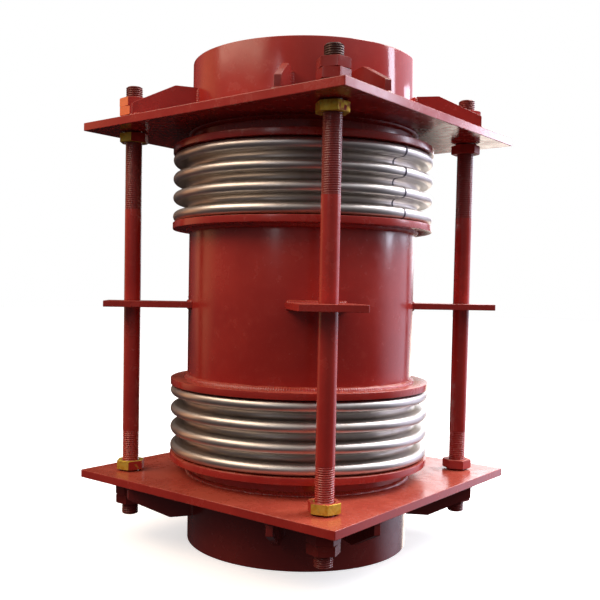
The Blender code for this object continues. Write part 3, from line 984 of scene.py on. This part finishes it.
def add_end_welds(level, way, skin):
    welds = Welds(31 + way)
    face = MIDDLE + way * PLATE_FAR
    welds.hoop(PIPE_RADIUS, face, way, PLATE_OUTER_LEG)
    welds.hoop(PIPE_RADIUS, MIDDLE + way * PLATE_NEAR, -way, PLATE_INNER_LEG)
    welds.hoop(PIPE_RADIUS, MIDDLE + way * END_RING_FAR, way, RING_LEG)
    for degrees in CORNERS.values():
        for spread_by in (-GUSSET_SPREAD, GUSSET_SPREAD):
            weld_gusset(welds, degrees + spread_by, way, face)
    for number in range(END_SPATTER):
        angle = welds.random.uniform(0.0, math.tau)
        out = outward(angle)
        size = welds.random.uniform(0.0005, 0.0013)
        if number % 3:
            height = face + way * welds.random.uniform(0.009, 0.030)
            welds.spatter(out * PIPE_RADIUS + upward(height), out, size)
        else:
            at = out * welds.random.uniform(0.213, 0.262) + upward(face)
            welds.spatter(at, upward(way), size)
    welds.finish(f"{level}_welds", f"{level}_end", skin)


def add_spool_welds(skin):
    welds = Welds(57)
    reach = math.asin(LUG_HALF_WIDTH / SPOOL_RADIUS) - 0.01
    for way in LEVELS.values():
        welds.hoop(SPOOL_RADIUS, MIDDLE + way * SPOOL_RING_NEAR, -way, RING_LEG)
        for corner, degrees in CORNERS.items():
            angle = math.radians(degrees)
            height = lug_height(corner) + way * LUG_THICKNESS / 2
            welds.hoop(SPOOL_RADIUS, height, way, LUG_LEG, angle - reach, angle + reach)
            for _ in range(LUG_SPATTER):
                turn = angle + welds.random.uniform(-reach, reach)
                out = outward(turn)
                up = height + way * welds.random.uniform(0.007, 0.018)
                size = welds.random.uniform(0.0005, 0.0011)
                welds.spatter(out * SPOOL_RADIUS + upward(up), out, size)
    welds.finish("spool_welds", "spool", skin)


# ---------------------------------------------------------------- tie rods, nuts and washers


def thread_cut(height, angle):
    """How deep the thread is cut, from 0 to 1, at each height and angle on a rod.

    Paint clogs the upper thread as far as the plate.
    """
    phase = np.mod(height / THREAD_PITCH - angle / math.tau, 1.0)
    tooth = np.clip((np.abs(2.0 * phase - 1.0) - 0.25) / 0.70, 0.0, 1.0)
    fade = 1.5 * THREAD_PITCH
    upper = np.clip((height - TOP_THREAD_START) / fade, 0.0, 1.0)
    upper *= np.where(height < PLATE_NEAR, CLOGGED_THREAD, 1.0)
    lower = np.clip((BOTTOM_THREAD_START - height) / fade, 0.0, 1.0)
    return tooth * np.maximum(upper, lower)


def rod_heights():
    """Heights of the rows of points along a rod: close together where it is threaded."""
    step = THREAD_PITCH / THREAD_ROWS
    low = np.arange(-ROD_END + ROD_TIP_LENGTH, BOTTOM_THREAD_START, step)
    plain = np.linspace(BOTTOM_THREAD_START, TOP_THREAD_START, 40)
    high = np.arange(TOP_THREAD_START + step, ROD_END - ROD_TIP_LENGTH, step)
    return np.concatenate([low, plain, high])


def rod(name, at, skin):
    """A tie rod with real threads at both ends and chamfered tips."""
    heights = rod_heights()
    angles = turn_angles(ROD_SIDES)
    radius = ROD_RADIUS - THREAD_DEPTH * thread_cut(heights[:, None], angles[None, :])
    small = np.full(ROD_SIDES, ROD_RADIUS - ROD_TIP_DROP)
    rows = [(-ROD_END, small - 0.0004), (-ROD_END + 0.0003, small)]
    rows += list(zip(heights, radius))
    rows += [(ROD_END - 0.0003, small), (ROD_END, small - 0.0004)]
    points = []
    for height, radii in rows:
        for angle, reach in zip(angles, radii):
            x = at[0] + reach * math.cos(angle)
            y = at[1] + reach * math.sin(angle)
            points.append((x, y, MIDDLE + height))
    faces = grid_faces(len(rows), ROD_SIDES, False)
    faces.append(tuple(range(ROD_SIDES)))
    last = (len(rows) - 1) * ROD_SIDES
    faces.append(tuple(range(last, last + ROD_SIDES)))
    return new_piece(name, points, faces, skin, math.radians(70.0))


def nut(name, at, low, turn, skin):
    """A hexagon nut, chamfered and countersunk on both faces."""
    flat = NUT_ACROSS_FLATS / 2
    angles = turn_angles(6 * NUT_SIDES_PER_FLAT)
    within = np.mod(angles, math.pi / 3) - math.pi / 6
    hexagon = np.minimum(flat / np.cos(within), 0.994 * flat / math.cos(math.pi / 6))
    drop = np.maximum((hexagon - NUT_FACE_RADIUS) * math.tan(NUT_CHAMFER), 0.0004)
    flush = np.zeros(len(angles))
    face = np.minimum(NUT_FACE_RADIUS, hexagon - 0.0004)
    bore = np.full(len(angles), NUT_BORE_RADIUS)
    sink = np.full(len(angles), NUT_COUNTERSINK)
    sunk = flush + (NUT_COUNTERSINK - NUT_BORE_RADIUS)
    up_side = [(bore, sunk), (sink, flush), (face, flush), (hexagon, drop)]
    down_side = [(radius, NUT_HEIGHT - height) for radius, height in up_side[::-1]]
    points = []
    for radii, rises in up_side + down_side:
        for angle, radius, rise in zip(angles, radii, rises):
            x = at[0] + radius * math.cos(angle + turn)
            y = at[1] + radius * math.sin(angle + turn)
            points.append((x, y, low + rise))
    return new_piece(name, points, grid_faces(8, len(angles)), skin)


def washer(name, at, way, skin):
    """A seat washer: a ball face towards the plate and a flat face towards the nut."""
    centre = PLATE_FAR + BALL_CENTRE_OUT
    ball = []
    for radius in np.linspace(WASHER_BORE_RADIUS, WASHER_RADIUS, 7):
        ball.append((radius, centre - math.sqrt(BALL_RADIUS**2 - radius**2)))
    top = PLATE_FAR + WASHER_FACE_OUT
    soft = 0.0012
    outline = ball + [
        (WASHER_RADIUS, top - soft),
        (WASHER_RADIUS - 0.35 * soft, top - 0.35 * soft),
        (WASHER_RADIUS - soft, top),
        (WASHER_BORE_RADIUS, top),
    ]
    placed = [(radius, MIDDLE + way * height) for radius, height in outline]
    return lathe(name, placed, skin, at, 64)


def add_rods(skins):
    """The four tie rods with their nuts and seat washers."""
    for corner, degrees in CORNERS.items():
        at = on_circle(ROD_CIRCLE, degrees)
        body = f"rod_{corner}"
        made = rod(f"rod_{corner}", at, skins["clean_rod" if corner == "front" else "painted_rod"])
        settle(made, body, f"tie_rod_{corner}")
        for level, way in LEVELS.items():
            inner_turn, turn = NUT_TURNS[f"{level}_{corner}"]
            seat_body = f"lower_seat_{corner}" if way < 0 else body
            made = washer(f"{level}_washer_{corner}", at, way, skins["nut"])
            settle(made, seat_body, f"{level}_seat_washer_{corner}")
            # The top left outer nuts take the enamel with painted orange light
            skin = skins["left_lit" if (level, corner) == ("top", "left") else "nut"]
            outer = PLATE_FAR + WASHER_FACE_OUT + OUTER_NUT_GAP
            jam_turn = turn + way * JAM_NUT_TURN
            pair = (("nut", outer, turn), ("jam_nut", outer + NUT_HEIGHT, jam_turn))
            for word, start, way_round in pair:
                low = min(MIDDLE + way * start, MIDDLE + way * (start + NUT_HEIGHT))
                made = nut(f"{level}_{word}_{corner}", at, low, math.radians(way_round), skin)
                settle(made, body, f"{level}_outer_nuts_{corner}")
            start = PLATE_NEAR - INNER_NUT_GAP
            low = min(MIDDLE + way * start, MIDDLE + way * (start - NUT_HEIGHT))
            skin = skins[f"{level}_{corner}"]
            made = nut(f"{level}_lock_nut_{corner}", at, low, math.radians(inner_turn), skin)
            settle(made, body, f"{level}_inner_nut_{corner}")


# ---------------------------------------------------------------- stage, light and camera

WHITE = (1.0, 1.0, 1.0, 1.0)
FLOOR_DULL = (0.86, 0.86, 0.86, 1.0)
FLOOR_PALE = (0.90, 0.90, 0.90, 1.0)
ROOM_LOW = (0.050, 0.044, 0.048, 1.0)
ROOM_LEVEL = (0.150, 0.130, 0.136, 1.0)
ROOM_LEFT = (0.340, 0.240, 0.170, 1.0)
ROOM_OVERHEAD = (0.640, 0.600, 0.560, 1.0)
ROOM_RIGHT = (1.300, 1.320, 1.420, 1.0)

# Azimuth, elevation, the angles from there between which the patch fades out, and colour
ROOM_PATCHES = (
    (180.0, 0.0, 18.0, 48.0, (0.016, 0.010, 0.010, 1.0)),
    (-114.0, 8.0, 8.0, 24.0, (1.00, 0.50, 0.27, 1.0)),
    (120.0, 5.0, 12.0, 42.0, (1.35, 1.30, 1.60, 1.0)),
    (166.0, 18.0, 12.0, 17.0, (0.80, 0.66, 0.52, 1.0)),
    (158.0, 15.0, 10.5, 16.0, (3.40, 3.40, 3.60, 1.0)),
    (160.0, -12.0, 8.0, 12.0, (3.20, 2.80, 2.50, 1.0)),
)

# Azimuth, elevation, distance, width and height, colour and power
SOFTBOXES = {
    "key_right": (108, 50, 3.0, (2.0, 2.0), (1.0, 0.93, 0.92), 114),
    "fill_left": (-68, 42, 3.0, (2.6, 1.6), (1.0, 0.77, 0.58), 57),
    "window_high_right": (95, 20, 3.0, (0.42, 1.10), (0.80, 0.85, 1.0), 18),
    "window_low_right": (124, 16, 3.0, (0.70, 0.62), (0.78, 0.84, 1.0), 9),
    "strip_front_left": (-25, 20, 3.2, (0.14, 0.70), (1.0, 0.97, 1.0), 3.2),
}


def towards(azimuth, elevation):
    """A direction from the object, by its angle right of the camera and above the level."""
    turn = math.radians(CAMERA_AZIMUTH + azimuth)
    rise = math.radians(elevation)
    return Vector(
        (math.sin(turn) * math.cos(rise), -math.cos(turn) * math.cos(rise), math.sin(rise))
    )


def softbox(name, azimuth, elevation, distance, size, colour, power):
    lamp = bpy.data.lights.new(name, "AREA")
    lamp.shape = "RECTANGLE"
    lamp.size, lamp.size_y = size
    lamp.color = colour
    lamp.energy = power
    thing = put(name, lamp)
    way = towards(azimuth, elevation)
    thing.location = upward(MIDDLE) + way * distance
    thing.rotation_euler = way.to_track_quat("Z", "Y").to_euler()


def add_lights():
    """A strong light and two cool windows at the right, a weaker warm light and a strip at the left."""
    for name, values in SOFTBOXES.items():
        softbox(name, *values)


def lobe(tree, way, azimuth, elevation, inner, outer):
    """1 near a direction and 0 beyond it, with a soft edge between two angles in degrees."""
    near = cosine(tree, way, towards(azimuth, elevation))
    return spread(tree, near, math.cos(math.radians(outer)), math.cos(math.radians(inner)))


def add_world():
    """A white background behind a dim room: dark below, pale overhead, and open to the right.

    Only the reflections and the soft light see the room.
    """
    world = bpy.data.worlds.new("studio")
    bpy.context.scene.world = world
    world.use_nodes = True
    tree = world.node_tree
    way = add(tree, "ShaderNodeTexCoord").outputs["Generated"]
    height = add(tree, "ShaderNodeSeparateXYZ", {0: way}).outputs["Z"]
    side = cosine(tree, way, towards(90.0, 0.0))
    walls = mix(tree, spread(tree, height, -0.30, 0.12), ROOM_LOW, ROOM_LEVEL)
    above = mix(tree, spread(tree, side, -0.9, 0.0), ROOM_LEFT, ROOM_OVERHEAD)
    above = mix(tree, spread(tree, side, 0.0, 0.9), above, ROOM_RIGHT)
    room = mix(tree, spread(tree, height, 0.20, 0.78), walls, above)
    for *where, colour in ROOM_PATCHES:
        room = mix(tree, lobe(tree, way, *where), room, colour)
    seen = add(tree, "ShaderNodeLightPath").outputs["Is Camera Ray"]
    colour = mix(tree, seen, room, WHITE)
    tree.links.new(colour, tree.nodes["Background"].inputs["Color"])


def add_floor(skin):
    """A pale floor that the camera sees, but which throws no light up onto the object."""
    mesh = bpy.data.meshes.new("floor")
    reach = 14.0
    corners = [(-reach, -reach, 0), (reach, -reach, 0), (reach, reach, 0), (-reach, reach, 0)]
    mesh.from_pydata(corners, [], [(0, 1, 2, 3)])
    mesh.materials.append(skin)
    floor = put("floor", mesh)
    floor.visible_diffuse = False
    floor.visible_glossy = False


def add_camera():
    data = bpy.data.cameras.new("camera")
    data.lens = CAMERA_LENS
    data.sensor_width = 36.0
    data.shift_x, data.shift_y = CAMERA_SHIFT
    camera = put("camera", data)
    away = towards(0.0, 0.0) * CAMERA_DISTANCE
    stand = Matrix.Translation(away + upward(MIDDLE + CAMERA_ABOVE_MIDDLE))
    pitch = turned(90.0 - CAMERA_PITCH_DOWN, "X")
    camera.matrix_world = stand @ turned(CAMERA_HEADING) @ pitch @ turned(CAMERA_ROLL)
    bpy.context.scene.camera = camera


# ---------------------------------------------------------------- everything together


def build():
    bpy.context.scene.view_settings.view_transform = "Standard"
    plain = red_paint("oxide_red_paint")
    flat = red_paint("oxide_red_plate_paint", 0.02)
    weld = weld_paint()
    skins = {
        "nut": red_paint("oxide_red_nut_paint", 0.08, 0.18),
        "left_lit": left_lit_paint("paint_with_painted_orange_light", towards(-75.0, 0.0)),
        "painted_rod": rod_paint("tie_rod_paint", 0.35),
        "clean_rod": rod_paint("tie_rod_paint_with_clean_thread", 1.0),
    }
    for which, (cover, azimuth, elevation, shine) in NUT_SPRAY.items():
        side = towards(azimuth, elevation)
        skins[which] = nut_finish(f"zinc_{which}", cover, side, shine)
    add_camera()
    add_world()
    add_lights()
    add_floor(floor_finish())
    add_pipes(pipe_paint(), plain)
    add_bellows(stainless_steel())
    for level, way in LEVELS.items():
        add_plate(level, way, flat)
        add_gussets(level, way, plain)
        add_end_welds(level, way, weld)
    add_lugs(plain)
    add_spool_welds(weld)
    add_rods(skins)


build()
